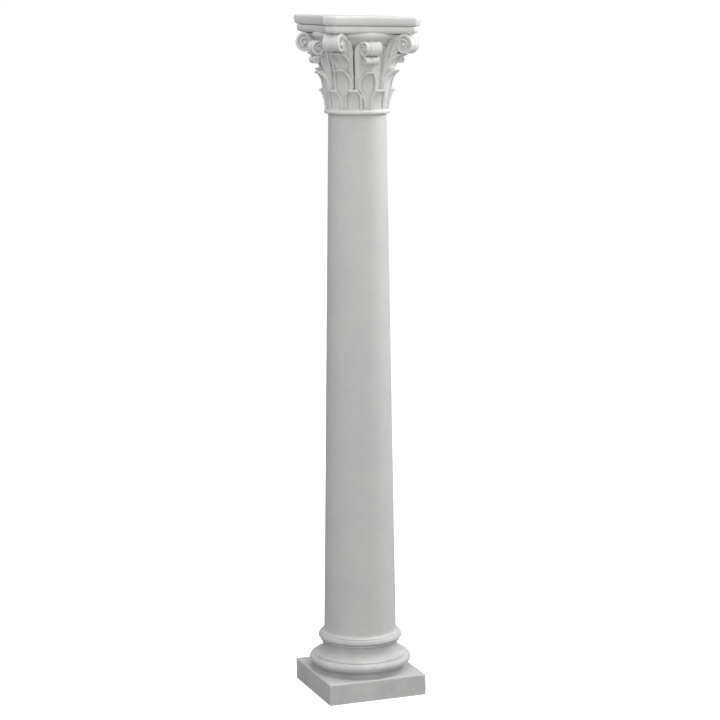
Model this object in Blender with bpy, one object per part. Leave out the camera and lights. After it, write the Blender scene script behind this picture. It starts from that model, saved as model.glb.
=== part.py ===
"""Corinthian display column in cast plaster: a moulded base on a square plinth, a plain tapering
shaft and a carved capital, stacked dry and standing by their own weight. Metres, +Z up, origin at
the middle of the underside, the plinth's sides square to X and Y."""

import bmesh
import bpy
from math import atan2, cos, exp, pi, radians, sin, sqrt, tau
from mathutils import Vector

# Clearance between castings that stand on each other
JOINT_GAP = 0.0003

# Base casting, from the floor up
PLINTH_HEIGHT = 0.057
PLINTH_EDGE = 0.0022
TORUS_HEIGHT = 0.043
TORUS_ROUND = 0.025
TORUS_COVE = 0.0045
SCORED_LINE = 0.0012
SCOTIA_HEIGHT = 0.038
SCOTIA_NECK_HEIGHT = 0.0255
FILLET_HEIGHT = 0.007
BEAD_HEIGHT = 0.015
BEAD_BELLY_HEIGHT = 0.0035

# How far the plinth's sides and each moulding stand out from the shaft's foot
PLINTH_REACH = 0.0407
TORUS_REACH = 0.0405
SCOTIA_LIP_REACH = 0.029
SCOTIA_NECK_REACH = 0.0039
SCOTIA_TOP_REACH = 0.0087
FILLET_REACH = 0.0099
BEAD_REACH = 0.0156

# Shaft casting
SHAFT_LENGTH = 1.415
SHAFT_FOOT_RADIUS = 0.0983
SHAFT_TOP_RADIUS = 0.0773
SHAFT_TAPER_EASE = 0.08
FOOT_FLARE = 0.0085
FOOT_FLARE_HEIGHT = 0.0111
FOOT_LIP = 0.0012

# Capital casting: its height, and how far its neck ring overhangs the shaft
CAPITAL_HEIGHT = 0.255
RING_OVERHANG = 0.0107

# Levels and radii that follow from the sizes above
BASE_HEIGHT = PLINTH_HEIGHT + TORUS_HEIGHT + SCOTIA_HEIGHT + FILLET_HEIGHT + BEAD_HEIGHT
SHAFT_BOTTOM = BASE_HEIGHT + JOINT_GAP
SHAFT_TOP = BASE_HEIGHT + SHAFT_LENGTH - JOINT_GAP
CAPITAL_BOTTOM = BASE_HEIGHT + SHAFT_LENGTH
RING_RADIUS = SHAFT_TOP_RADIUS + RING_OVERHANG

# The capital is set out in parts, as a carver divides one: 255 in its height, and 88 in the
# radius of its neck ring. Heights are counted from its underside
UP = CAPITAL_HEIGHT / 255
OUT = RING_RADIUS / 88
FACES = (0, 90, 180, 270)

# Azimuths of the carving, from the -Y face. The pieces were set by hand and stand a little off
# their even places, as the photo shows, and the two far sides repeat the two near ones
LOW_LEAVES = (-63.9, -27.5, 18.2, 65.5, 116.1, 152.5, 198.2, 245.5)
CORNER_LEAVES = (-45.5, 45, 134.5, 225)
FACE_LEAVES = (-2.5, 90, 177.5, 270)
CORNER_SCROLLS = (-46.5, 45, 133.5, 225)
FACE_SCROLLS = (-4.5, 89, 175.5, 269)

# Neck ring and bell, as (out, up). Every carved form reaches in to the bell's core
NECK_RING = [(82, 0), (86, 1.5), (88, 5), (87.6, 9), (85.5, 12), (80, 14)]
BELL = [(77, 4), (80.5, 30), (84, 60), (87, 90), (90, 120), (93.5, 150), (99, 178), (104, 191),
        (109, 197.5), (113.5, 203), (114.5, 209), (111, 216), (106, 225)]
CORE = 62

# Leaves. A spine runs from foot to curled tip as (out, up, half width). The rim is the raised
# edge, the rib the middle vein, the dish the hollow between them, and the lip starts at a share
# of the spine. A flat leaf stands away from the bell's curve
LOW_LEAF = {
    "spine": [(85.5, 8, 23.6), (85.8, 20, 24.4), (87.3, 33, 24.4), (90.6, 46, 22.6),
              (95.0, 56, 18.4), (99.3, 62, 13.8), (99.8, 65.5, 12.8), (94.3, 67, 12.2)],
    "rim": 1.8, "rib": 1.2, "dish": 2.6, "lip_from": 0.76, "droop": 1.2, "flat": 0.0, "core_rise": 0.0,
}
CORNER_MIDDLE_LEAF = {
    "spine": [(84.5, 8, 6.0), (86.2, 30, 8.0), (89.3, 52, 16.0), (91.0, 68, 27.5), (93.2, 84, 29.0),
              (98.5, 97, 25.5), (106.5, 107.5, 19.5), (115.0, 113.5, 16.0), (116.0, 117.0, 15.0),
              (107.5, 119.0, 14.0)],
    "rim": 2.0, "rib": 1.4, "dish": 3.0, "lip_from": 0.78, "droop": 1.6, "flat": 0.0, "core_rise": 0.0,
}
FACE_MIDDLE_LEAF = {
    "spine": [(85.0, 8, 8.4), (86.6, 30, 9.2), (89.6, 52, 16.5), (91.2, 68, 27.0), (93.3, 84, 27.5),
              (98.3, 94.5, 22.5), (105.5, 103.0, 15.5), (114.0, 108.0, 11.0), (115.0, 111.5, 9.5),
              (107.0, 113.5, 9.0)],
    "rim": 2.0, "rib": 1.4, "dish": 3.0, "lip_from": 0.78, "droop": 1.6, "flat": 0.0, "core_rise": 0.0,
}
CORNER_LEAF = {
    "spine": [(94.0, 104, 26.0), (98.0, 118, 28.0), (104.0, 130, 28.5), (113.0, 141, 27.5),
              (124.5, 150, 25.5), (135.5, 156.5, 23.0), (138.0, 159.5, 21.5), (132.0, 162.0, 20.5)],
    "rim": 2.4, "rib": 2.8, "dish": 3.8, "lip_from": 0.82, "droop": 5.0, "flat": 0.85, "core_rise": -6.0,
}
# Where the ridges of a leaf lie across it, from the middle at 0 to the edge at 1, and their widths
RIM_RIDGE = (0.84, 0.13)
FOLD_RIDGE = (0.56, 0.09)
VEIN_RIDGE = (0.30, 0.08)
RIB_RIDGE = (0.0, 0.13)
EDGE_FROM = 0.88

# Scrolls. The band climbs its stem, as (out, up, half width), and winds over the roll, whose
# centre is (out, up) and whose turns end at the eye. The recess sets back the roll's ends
CORNER_SCROLL = {
    "stem": [(88.5, 60, 31.4), (92.5, 88, 32.8), (97.5, 116, 34.5), (102.0, 144, 36.3),
             (107.0, 167, 39.0), (114.5, 187, 38.5), (127.0, 202, 32.5)],
    "centre": (142.0, 182.0), "radius": 27.8, "half_width": 24.5, "band": 6.5, "eye": 5.5, "turns": 1.45,
    "stem_share": 0.4, "sink": 40.0, "groove": 3.0, "bead": 0.0, "rim": 1.6, "recess": 5.0, "knob": 1.5,
}
FACE_SCROLL = {
    "stem": [(88.5, 60, 31.7), (92.0, 88, 32.9), (96.0, 116, 34.4), (99.5, 144, 35.8),
             (102.0, 164, 37.3), (104.5, 179, 35.5), (108.0, 188, 32.0)],
    "centre": (114.0, 169.5), "radius": 20.5, "half_width": 28.5, "band": 5.5, "eye": 4.5, "turns": 1.35,
    "stem_share": 0.4, "sink": 26.0, "groove": 0.0, "bead": 2.4, "rim": 1.4, "recess": 4.5, "knob": 0.5,
}
SMALL_SCROLL = {
    "stem": [(93.0, 108, 16.5), (96.0, 120, 18.5), (98.5, 131, 20.0), (102.0, 142, 20.5),
             (107.0, 149, 20.5)],
    "centre": (118.0, 140.0), "radius": 11.0, "half_width": 20.5, "band": 4.2, "eye": 3.0, "turns": 1.1,
    "stem_share": 0.35, "sink": 12.0, "groove": 3.0, "bead": 0.0, "rim": 0.8, "recess": 3.0, "knob": 0.5,
}
# How a band's turns close in on the eye, above 1 slowly at first
WINDING_EASE = 1.1
# Where the ridges of a band lie across it, and their widths
BAND_GROOVE = (0.0, 0.10)
BAND_BEAD = (0.0, 0.07)
BAND_QUIRK = (0.17, 0.06)
BAND_RIM = (0.9, 0.12)

# Solid plaster between the bell and a roll, as (out, up, half width)
CORNER_FILLING = [(98.0, 120, 18.0), (108.0, 145, 20.0), (122.0, 160, 21.0), (132.0, 172, 21.5),
                  (136.0, 190, 22.0), (142.0, 208, 21.0)]
FACE_FILLING = [(96.0, 115, 13.0), (104.0, 130, 15.0), (108.0, 145, 16.0), (110.0, 158, 22.0),
                (110.0, 172, 23.0), (104.0, 186, 23.0)]

# Abacus: half width at a horn and at the middle of a side, reach of a clipped corner, and its
# mouldings as (set back, up)
ABACUS_HORN = 136
ABACUS_MIDDLE = 124
ABACUS_REACH = 176.5
ABACUS_PROFILE = [(18.5, 209.3), (10.5, 213.5), (7.0, 218), (5.8, 223), (6.3, 228), (8.0, 229.8),
                  (7.5, 231), (3.0, 236), (0.6, 241), (0.0, 247), (0.6, 252), (2.8, 255)]

# Fineness of the solids
ROUND_SEGMENTS = 40
BELL_SEGMENTS = 64
DRUM_SEGMENTS = 28
ARC_STEPS = 5
SHORT_ARC_STEPS = 3
TORUS_STEPS = 7
SHAFT_RINGS = 5
LEAF_GRID = (26, 34)
BAND_GRID = (14, 84)
FILLING_GRID = (6, 12)
ABACUS_SIDE_STEPS = 6
CARVING_GRAIN = 2.1
CARVING_TRIANGLES = 5700


def clear_scene():
    for obj in list(bpy.data.objects):
        bpy.data.objects.remove(obj, do_unlink=True)


def plaster(name, colour, roughness):
    material = bpy.data.materials.new(name)
    material.use_nodes = True
    shader = material.node_tree.nodes["Principled BSDF"]
    shader.inputs["Base Color"].default_value = (*colour, 1.0)
    shader.inputs["Roughness"].default_value = roughness
    shader.inputs["Metallic"].default_value = 0.0
    return material


def add_object(name, bm, material, helper=False):
    """Puts a bmesh into the scene as one object. A helper is only a tool for a modifier."""
    bmesh.ops.recalc_face_normals(bm, faces=bm.faces[:])
    mesh = bpy.data.meshes.new(name)
    bm.to_mesh(mesh)
    bm.free()
    mesh.materials.append(material)
    mesh.shade_smooth()
    mesh.set_sharp_from_angle(angle=radians(35))
    obj = bpy.data.objects.new(name, mesh)
    bpy.context.scene.collection.objects.link(obj)
    if helper:
        obj.hide_render = True
        obj.display_type = "WIRE"
    return obj


def unite(obj, other):
    modifier = obj.modifiers.new(f"Unite {other.name}", "BOOLEAN")
    modifier.operation = "UNION"
    modifier.solver = "EXACT"
    modifier.object = other


def turned(profile, segments):
    """A closed turned body from a profile of (radius, height) points between two ends on the axis."""
    bm = bmesh.new()
    ends = [(0.0, profile[0][1])] + profile + [(0.0, profile[-1][1])]
    verts = [bm.verts.new((radius, 0.0, height)) for radius, height in ends]
    edges = [bm.edges.new(pair) for pair in zip(verts, verts[1:])]
    bmesh.ops.spin(bm, geom=verts + edges, axis=(0, 0, 1), cent=(0, 0, 0),
                   angle=tau, steps=segments, use_merge=True)
    bmesh.ops.remove_doubles(bm, verts=bm.verts[:], dist=1e-6)
    return bm


def arc(middle, reach, start, stop, steps):
    """Points of an ellipse about (radius, height), between two angles in degrees."""
    points = []
    for step in range(steps + 1):
        angle = radians(start + (stop - start) * step / steps)
        points.append((middle[0] + reach[0] * cos(angle), middle[1] + reach[1] * sin(angle)))
    return points


def torus_profile(bottom, top):
    """The base's large round between two levels, from its underside to the scored line."""
    start, stop = -58, 52
    rise = (top - bottom) / (sin(radians(stop)) - sin(radians(start)))
    inside = SHAFT_FOOT_RADIUS + TORUS_REACH - TORUS_ROUND
    return arc((inside, bottom - rise * sin(radians(start))), (TORUS_ROUND, rise), start, stop, TORUS_STEPS)


def base_profile():
    """The turned mouldings, from inside the plinth up to the joint under the shaft."""
    lip = SHAFT_FOOT_RADIUS + SCOTIA_LIP_REACH
    neck = SHAFT_FOOT_RADIUS + SCOTIA_NECK_REACH
    scotia_top = SHAFT_FOOT_RADIUS + SCOTIA_TOP_REACH
    fillet = SHAFT_FOOT_RADIUS + FILLET_REACH
    bead = SHAFT_FOOT_RADIUS + BEAD_REACH
    bead_top = SHAFT_FOOT_RADIUS + FOOT_FLARE
    torus_top = PLINTH_HEIGHT + TORUS_HEIGHT
    scotia_neck = torus_top + SCOTIA_NECK_HEIGHT
    fillet_bottom = torus_top + SCOTIA_HEIGHT
    fillet_top = fillet_bottom + FILLET_HEIGHT
    belly = fillet_top + BEAD_BELLY_HEIGHT
    torus = torus_profile(PLINTH_HEIGHT + TORUS_COVE, torus_top - SCORED_LINE / 2)
    foot = torus[0][0] + TORUS_COVE / 2
    profile = [(foot, PLINTH_HEIGHT / 2), (foot, PLINTH_HEIGHT),
               (foot - TORUS_COVE / 2, PLINTH_HEIGHT + TORUS_COVE / 2)] + torus
    profile.append((lip - SCORED_LINE, torus_top))
    lower = arc((lip, scotia_neck), (neck - lip, torus_top + SCORED_LINE / 2 - scotia_neck), 90, 0, ARC_STEPS)
    upper = arc((scotia_top, scotia_neck), (neck - scotia_top, fillet_bottom - scotia_neck), 0, 90,
                SHORT_ARC_STEPS)
    profile += lower + upper[1:]
    profile.append((fillet, fillet_bottom + SCORED_LINE))
    profile.append((fillet, fillet_top - SCORED_LINE))
    profile += arc((fillet - SCORED_LINE, belly), (bead - fillet + SCORED_LINE, BEAD_BELLY_HEIGHT), -90, 0,
                   SHORT_ARC_STEPS)
    profile += arc((bead_top, belly), (bead - bead_top, BASE_HEIGHT - belly), 0, 90, ARC_STEPS)[1:]
    return profile


def make_base(material):
    """Plinth and turned mouldings, one casting."""
    side = 2 * (SHAFT_FOOT_RADIUS + PLINTH_REACH)
    bm = bmesh.new()
    bmesh.ops.create_cube(bm, size=1.0)
    bmesh.ops.scale(bm, vec=(side, side, PLINTH_HEIGHT), verts=bm.verts[:])
    bmesh.ops.translate(bm, vec=(0, 0, PLINTH_HEIGHT / 2), verts=bm.verts[:])
    above_floor = [edge for edge in bm.edges if max(vert.co.z for vert in edge.verts) > 0]
    bmesh.ops.bevel(bm, geom=above_floor, offset=PLINTH_EDGE, segments=2, profile=0.5,
                    affect="EDGES", material=-1)
    base = add_object("base", bm, material)
    mouldings = turned(base_profile(), ROUND_SEGMENTS)
    unite(base, add_object("base_mouldings", mouldings, material, helper=True))


def shaft_radius(share):
    """Radius at a share of the shaft's height, which narrows a little sooner low down."""
    eased = share * (1 + SHAFT_TAPER_EASE * (1 - share))
    return SHAFT_FOOT_RADIUS - (SHAFT_FOOT_RADIUS - SHAFT_TOP_RADIUS) * eased


def make_shaft(material):
    """The plain tapering drum, with a flared foot whose lip stands over the base's bead."""
    lip = SHAFT_FOOT_RADIUS + FOOT_FLARE
    flare_top = SHAFT_BOTTOM + FOOT_LIP + FOOT_FLARE_HEIGHT
    profile = [(lip - FOOT_LIP, SHAFT_BOTTOM), (lip, SHAFT_BOTTOM + FOOT_LIP / 2)]
    profile += arc((lip, flare_top), (FOOT_FLARE, FOOT_FLARE_HEIGHT), -90, -180, ARC_STEPS)
    for ring in range(1, SHAFT_RINGS + 1):
        share = ring / SHAFT_RINGS
        profile.append((shaft_radius(share), flare_top + (SHAFT_TOP - flare_top) * share))
    add_object("shaft", turned(profile, ROUND_SEGMENTS), material)


def ease(value):
    """0 to 1 with a gentle start and end."""
    value = min(max(value, 0.0), 1.0)
    return value * value * (3 - 2 * value)


def ridge(value, place_and_width):
    """A soft ridge of height 1 about its place."""
    middle, width = place_and_width
    return exp(-((value - middle) / width) ** 2)


def along(points, share):
    """A smooth curve through evenly spaced control points, each a tuple of numbers."""
    reach = min(max(share, 0.0), 1.0) * (len(points) - 1)
    index = min(int(reach), len(points) - 2)
    t = reach - index
    before = points[max(index - 1, 0)]
    after = points[min(index + 2, len(points) - 1)]
    values = []
    for a, b, c, d in zip(before, points[index], points[index + 1], after):
        values.append(b + t / 2 * (c - a + t * (2 * a - 5 * b + 4 * c - d + t * (3 * (b - c) + d - a))))
    return values


def place(azimuth, out, side, up):
    """A point of the capital, in parts out along an azimuth, sideways from it and up."""
    angle = radians(azimuth)
    return Vector(((out * sin(angle) + side * cos(angle)) * OUT,
                   (side * sin(angle) - out * cos(angle)) * OUT,
                   CAPITAL_BOTTOM + up * UP))


def bent(azimuth, out, side, up, flat):
    """A point whose sideways reach follows the bell round, or runs straight where flat is 1."""
    turn = side / out
    round_out = out * cos(turn)
    round_side = out * sin(turn)
    return place(azimuth, round_out + (out - round_out) * flat, round_side + (side - round_side) * flat, up)


def join(bm, piece):
    """Adds a closed piece to the carving, faces outward."""
    bmesh.ops.recalc_face_normals(piece, faces=piece.faces[:])
    mesh = bpy.data.meshes.new("piece")
    piece.to_mesh(mesh)
    piece.free()
    bm.from_mesh(mesh)
    bpy.data.meshes.remove(mesh)


def skin(bm, grid, outer, inner):
    """A closed piece between two surfaces over one grid. Each takes (across, along), both 0 to 1."""
    piece = bmesh.new()
    bmesh.ops.create_grid(piece, x_segments=grid[0], y_segments=grid[1], size=0.5)
    grown = bmesh.ops.extrude_face_region(piece, geom=piece.faces[:])
    for item in grown["geom"]:
        if isinstance(item, bmesh.types.BMVert):
            item.co.z = 1.0
    for vert in piece.verts:
        surface = inner if vert.co.z > 0.5 else outer
        vert.co = surface(vert.co.x + 0.5, vert.co.y + 0.5)
    join(bm, piece)


def leaf_relief(form, across, share):
    """How far a leaf's face stands out from its spine's curve."""
    body = 1 - ease((share - form["lip_from"]) / (1 - form["lip_from"]))
    side = abs(across)
    ridges = form["rim"] * (ridge(side, RIM_RIDGE) + 0.55 * ridge(side, FOLD_RIDGE))
    ridges += form["rib"] * (ridge(across, RIB_RIDGE) + 0.5 * ridge(side, VEIN_RIDGE))
    edge = 1.2 * form["rim"] * ease((side - EDGE_FROM) / (1 - EDGE_FROM))
    return body * (ridges * ease(share / 0.12) - edge - form["dish"] * (1 - across * across))


def leaf(bm, azimuth, form):
    """One leaf on the bell, solid back to the core."""

    def outer(u, v):
        across = 2 * u - 1
        out, up, half = along(form["spine"], v)
        out += leaf_relief(form, across, v)
        up -= form["droop"] * across * across * ease((v - 0.6) / 0.4)
        return bent(azimuth, out, across * half, up, form["flat"] * ease((v - 0.3) / 0.7))

    def inner(u, v):
        out, up, half = along(form["spine"], v)
        turn = (2 * u - 1) * half / out
        return bent(azimuth, CORE, turn * CORE, up + form["core_rise"] * v, 0.0)

    skin(bm, LEAF_GRID, outer, inner)


def drum(bm, azimuth, centre, radius, half_width):
    """A short cylinder lying across an azimuth."""
    piece = bmesh.new()
    bmesh.ops.create_cone(piece, cap_ends=True, segments=DRUM_SEGMENTS, radius1=1.0, radius2=1.0, depth=2.0)
    for vert in piece.verts:
        x, y, z = vert.co
        vert.co = place(azimuth, centre[0] + radius * x, half_width * z, centre[1] + radius * y)
    join(bm, piece)


def wind_reach(form, share):
    """How far from its centre the band has wound, at a share of its turns."""
    last = form["eye"] + 0.7 * form["band"]
    return form["radius"] - (form["radius"] - last) * share ** WINDING_EASE


def winding(form, share, depth):
    """A point (out, up) on the wound band, at a share of its turns and a depth into its thickness."""
    reach = wind_reach(form, share) - depth * form["band"] * (1 - 0.45 * share)
    angle = pi / 2 - share * form["turns"] * tau
    return form["centre"][0] + reach * cos(angle), form["centre"][1] + reach * sin(angle)


def coil(bm, azimuth, form):
    """The roll's body inside the band's outer turn, set back from its ends."""
    half_width = form["half_width"] - form["recess"]
    piece = bmesh.new()
    bmesh.ops.create_cone(piece, cap_ends=True, segments=DRUM_SEGMENTS, radius1=1.0, radius2=1.0, depth=2.0)
    for vert in piece.verts:
        x, y, z = vert.co
        share = (pi / 2 - atan2(y, x)) % tau / (form["turns"] * tau)
        reach = wind_reach(form, share) - 0.6 * form["band"]
        vert.co = place(azimuth, form["centre"][0] + reach * x, half_width * z, form["centre"][1] + reach * y)
    join(bm, piece)


def band_relief(form, across):
    """How far a band's face stands out, across its width."""
    side = abs(across)
    bead = form["bead"] * (ridge(across, BAND_BEAD) - 0.6 * ridge(side, BAND_QUIRK))
    return bead + form["rim"] * ridge(side, BAND_RIM) - form["groove"] * ridge(across, BAND_GROOVE)


def scroll(bm, azimuth, form):
    """A band that climbs from the bell and winds into a roll, a spiral on each of its ends."""
    half_width = form["half_width"]
    stem = form["stem"] + [(form["centre"][0], form["centre"][1] + form["radius"], half_width)]
    split = form["stem_share"]

    def outer(u, v):
        across = 2 * u - 1
        lift = band_relief(form, across)
        if v > split:
            share = (v - split) / (1 - split)
            out, up = winding(form, share, -lift / form["band"] * (1 - share))
            return place(azimuth, out, across * half_width, up)
        share = v / split
        out, up, half = along(stem, share)
        lift *= ease(share / 0.15)
        flat = ease((share - 0.45) / 0.5)
        return bent(azimuth, out + lift * (1 - share * flat), across * half, up + lift * share, flat)

    def inner(u, v):
        across = 2 * u - 1
        if v > split:
            out, up = winding(form, (v - split) / (1 - split), 1.0)
            return place(azimuth, out, across * half_width, up)
        share = v / split
        out, up, half = along(stem, share)
        late = ease((share - 0.55) / 0.45) ** 3
        roll_out, roll_up = winding(form, 0.0, 1.0)
        deep_out = CORE + 0.25 * (out - CORE)
        deep_up = up - form["sink"] * ease(share)
        return bent(azimuth, deep_out + (roll_out - deep_out) * late, across * half,
                    deep_up + (roll_up - deep_up) * late, ease((share - 0.45) / 0.5))

    skin(bm, BAND_GRID, outer, inner)
    coil(bm, azimuth, form)
    drum(bm, azimuth, form["centre"], form["eye"], half_width + form["knob"])


def filling(bm, azimuth, levels):
    """A plain block between the bell and a roll."""

    def outer(u, v):
        out, up, half = along(levels, v)
        return place(azimuth, out, (2 * u - 1) * half, up)

    def inner(u, v):
        out, up, half = along(levels, v)
        return place(azimuth, CORE, (2 * u - 1) * half, up)

    skin(bm, FILLING_GRID, outer, inner)


def capital_levels(points):
    """(out, up) in parts as (radius, height) in metres."""
    return [(out * OUT, CAPITAL_BOTTOM + up * UP) for out, up in points]


def carved_forms():
    """Bell, leaves and scrolls, each a closed piece, overlapping one another."""
    bm = bmesh.new()
    join(bm, turned(capital_levels(BELL), BELL_SEGMENTS))
    for azimuth in LOW_LEAVES:
        leaf(bm, azimuth, LOW_LEAF)
    for azimuth in CORNER_LEAVES:
        leaf(bm, azimuth, CORNER_MIDDLE_LEAF)
    for azimuth in FACE_LEAVES:
        leaf(bm, azimuth, FACE_MIDDLE_LEAF)
    for azimuth in CORNER_SCROLLS:
        leaf(bm, azimuth, CORNER_LEAF)
        scroll(bm, azimuth, CORNER_SCROLL)
        filling(bm, azimuth, CORNER_FILLING)
    for azimuth in FACE_SCROLLS:
        scroll(bm, azimuth, FACE_SCROLL)
        scroll(bm, azimuth, SMALL_SCROLL)
        filling(bm, azimuth, FACE_FILLING)
    return bm


def keep_largest(bm):
    """Drops the specks that a remesh leaves where forms close off a little air between them."""
    unseen = set(bm.verts)
    bodies = []
    while unseen:
        edge_of_body = [unseen.pop()]
        body = set(edge_of_body)
        while edge_of_body:
            vert = edge_of_body.pop()
            for edge in vert.link_edges:
                other = edge.other_vert(vert)
                if other in unseen:
                    unseen.remove(other)
                    body.add(other)
                    edge_of_body.append(other)
        bodies.append(body)
    largest = max(bodies, key=len)
    specks = [vert for body in bodies if body is not largest for vert in body]
    bmesh.ops.delete(bm, geom=specks, context="VERTS")


def cast(bm, material):
    """The forms fused into one skin, as a mould would give them."""
    forms = add_object("capital_forms", bm, material, helper=True)
    fuse = forms.modifiers.new("Fuse", "REMESH")
    fuse.mode = "VOXEL"
    fuse.voxel_size = CARVING_GRAIN * UP
    graph = bpy.context.evaluated_depsgraph_get()
    mesh = bpy.data.meshes.new_from_object(forms.evaluated_get(graph))
    bpy.data.objects.remove(forms, do_unlink=True)
    skin_bm = bmesh.new()
    skin_bm.from_mesh(mesh)
    bpy.data.meshes.remove(mesh)
    keep_largest(skin_bm)
    return skin_bm


def abacus_ring(set_back, up):
    """Points round the abacus at one level: four hollow sides between clipped corners."""
    middle = ABACUS_MIDDLE - set_back
    horn_side = sqrt(2) * ABACUS_REACH - ABACUS_HORN
    bow = (ABACUS_HORN - ABACUS_MIDDLE) / horn_side ** 2
    clip = sqrt(2) * (ABACUS_REACH - set_back)
    half = (sqrt(1 + 4 * bow * (clip - middle)) - 1) / (2 * bow)
    points = []
    for face in FACES:
        for step in range(ABACUS_SIDE_STEPS + 1):
            side = half * (2 * step / ABACUS_SIDE_STEPS - 1)
            points.append(place(face, middle + bow * side * side, side, up))
    return points


def abacus():
    bm = bmesh.new()
    rings = []
    for set_back, up in ABACUS_PROFILE:
        verts = [bm.verts.new(point) for point in abacus_ring(set_back, up)]
        edges = [bm.edges.new((vert, verts[index - 1])) for index, vert in enumerate(verts)]
        if rings:
            bmesh.ops.bridge_loops(bm, edges=rings[-1][1] + edges)
        rings.append((verts, edges))
    bm.faces.new(rings[0][0])
    bm.faces.new(rings[-1][0])
    return bm


def make_capital(material):
    """Neck ring, carved bell and abacus, one casting. The carving is thinned to fewer faces, and
    the plain ring and abacus stay crisp."""
    carving = cast(carved_forms(), material)
    share_kept = CARVING_TRIANGLES / (2 * len(carving.faces))
    capital = add_object("capital", carving, material)
    capital.modifiers.new("Thin out", "DECIMATE").ratio = share_kept
    ring = turned(capital_levels(NECK_RING), ROUND_SEGMENTS)
    unite(capital, add_object("capital_neck_ring", ring, material, helper=True))
    unite(capital, add_object("capital_abacus", abacus(), material, helper=True))


def main():
    clear_scene()
    make_base(plaster("base_plaster", (0.60, 0.60, 0.59), 0.75))
    make_shaft(plaster("shaft_plaster", (0.60, 0.60, 0.59), 0.8))
    make_capital(plaster("capital_plaster", (0.66, 0.66, 0.64), 0.7))


main()
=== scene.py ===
import bmesh
import bpy
from math import atan2, cos, exp, pi, radians, sin, sqrt, tau
from mathutils import Matrix, Vector, noise


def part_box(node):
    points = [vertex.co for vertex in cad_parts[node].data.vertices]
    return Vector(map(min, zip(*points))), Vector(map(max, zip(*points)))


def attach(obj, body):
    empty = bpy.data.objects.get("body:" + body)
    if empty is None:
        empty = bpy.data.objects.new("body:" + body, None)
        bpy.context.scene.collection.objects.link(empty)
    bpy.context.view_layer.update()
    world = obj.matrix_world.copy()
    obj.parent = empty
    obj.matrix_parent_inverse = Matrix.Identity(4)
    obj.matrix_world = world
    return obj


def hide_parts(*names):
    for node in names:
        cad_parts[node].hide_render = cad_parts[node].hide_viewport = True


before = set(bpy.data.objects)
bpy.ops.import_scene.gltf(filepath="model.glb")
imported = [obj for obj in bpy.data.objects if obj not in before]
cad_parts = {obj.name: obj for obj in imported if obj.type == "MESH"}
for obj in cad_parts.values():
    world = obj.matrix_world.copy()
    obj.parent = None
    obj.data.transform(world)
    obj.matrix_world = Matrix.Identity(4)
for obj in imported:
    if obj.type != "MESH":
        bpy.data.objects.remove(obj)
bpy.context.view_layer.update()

baseLow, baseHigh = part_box("base")
shaftLow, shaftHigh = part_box("shaft")
capitalLow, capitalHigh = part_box("capital")

# Small tools that every casting uses

def eased(value):
    value = min(max(value, 0.0), 1.0)
    return value * value * (3 - 2 * value)


def ridge(value, middle, width):
    return exp(-((value - middle) / width) ** 2)


# A smooth curve through evenly spaced control points, each a tuple of numbers
def along(points, share):
    reach = min(max(share, 0.0), 1.0) * (len(points) - 1)
    index = min(int(reach), len(points) - 2)
    t = reach - index
    before = points[max(index - 1, 0)]
    after = points[min(index + 2, len(points) - 1)]
    values = []
    for a, b, c, d in zip(before, points[index], points[index + 1], after):
        values.append(b + t / 2 * (c - a + t * (2 * a - 5 * b + 4 * c - d + t * (3 * (b - c) + d - a))))
    return values


# An arc of an ellipse as (radius, height) points
def arc(middle, size, start, stop, steps):
    points = []
    for step in range(steps + 1):
        angle = radians(start + (stop - start) * step / steps)
        points.append((middle[0] + size[0] * cos(angle), middle[1] + size[1] * sin(angle)))
    return points


# A closed turned body from a profile between two ends on the axis
def turned(profile, segments):
    bm = bmesh.new()
    ends = [(0.0, profile[0][1])] + profile + [(0.0, profile[-1][1])]
    verts = [bm.verts.new((radius, 0.0, height)) for radius, height in ends]
    edges = [bm.edges.new(pair) for pair in zip(verts, verts[1:])]
    bmesh.ops.spin(bm, geom=verts + edges, axis=(0, 0, 1), cent=(0, 0, 0),
                   angle=tau, steps=segments, use_merge=True)
    bmesh.ops.remove_doubles(bm, verts=bm.verts[:], dist=1e-6)
    bmesh.ops.recalc_face_normals(bm, faces=bm.faces[:])
    return bm


# Rounds the arrises that a profile's corners leave
def softenArrises(bm, angle, width, segments):
    sharp = [edge for edge in bm.edges if edge.calc_face_angle(0.0) > radians(angle)]
    bmesh.ops.bevel(bm, geom=sharp, offset=width, segments=segments, profile=0.5,
                    affect="EDGES", material=-1, clamp_overlap=True)


def toObject(name, bm):
    mesh = bpy.data.meshes.new(name)
    bm.to_mesh(mesh)
    bm.free()
    obj = bpy.data.objects.new(name, mesh)
    bpy.context.scene.collection.objects.link(obj)
    return obj


# The object's mesh with its modifiers applied, as a bmesh. The object is removed
def takeMesh(obj):
    graph = bpy.context.evaluated_depsgraph_get()
    mesh = bpy.data.meshes.new_from_object(obj.evaluated_get(graph))
    old = obj.data
    bpy.data.objects.remove(obj, do_unlink=True)
    bpy.data.meshes.remove(old)
    bm = bmesh.new()
    bm.from_mesh(mesh)
    bpy.data.meshes.remove(mesh)
    return bm


def united(first, second):
    body = toObject("body", first)
    other = toObject("other", second)
    union = body.modifiers.new("union", "BOOLEAN")
    union.operation = "UNION"
    union.solver = "EXACT"
    union.object = other
    bm = takeMesh(body)
    mesh = other.data
    bpy.data.objects.remove(other, do_unlink=True)
    bpy.data.meshes.remove(mesh)
    return bm


# The slight unevenness of a hand-poured casting. Points on the joints stay where they are
def castUneven(bm, depth, size, low, high, margin=0.004):
    bm.normal_update()
    for vert in bm.verts:
        hold = min((vert.co.z - low) / margin, (high - vert.co.z) / margin, 1.0)
        if hold > 0:
            swell = noise.noise(vert.co / size) + 0.4 * noise.noise(vert.co / size * 3.1)
            vert.co += vert.normal * depth * swell * hold


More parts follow.
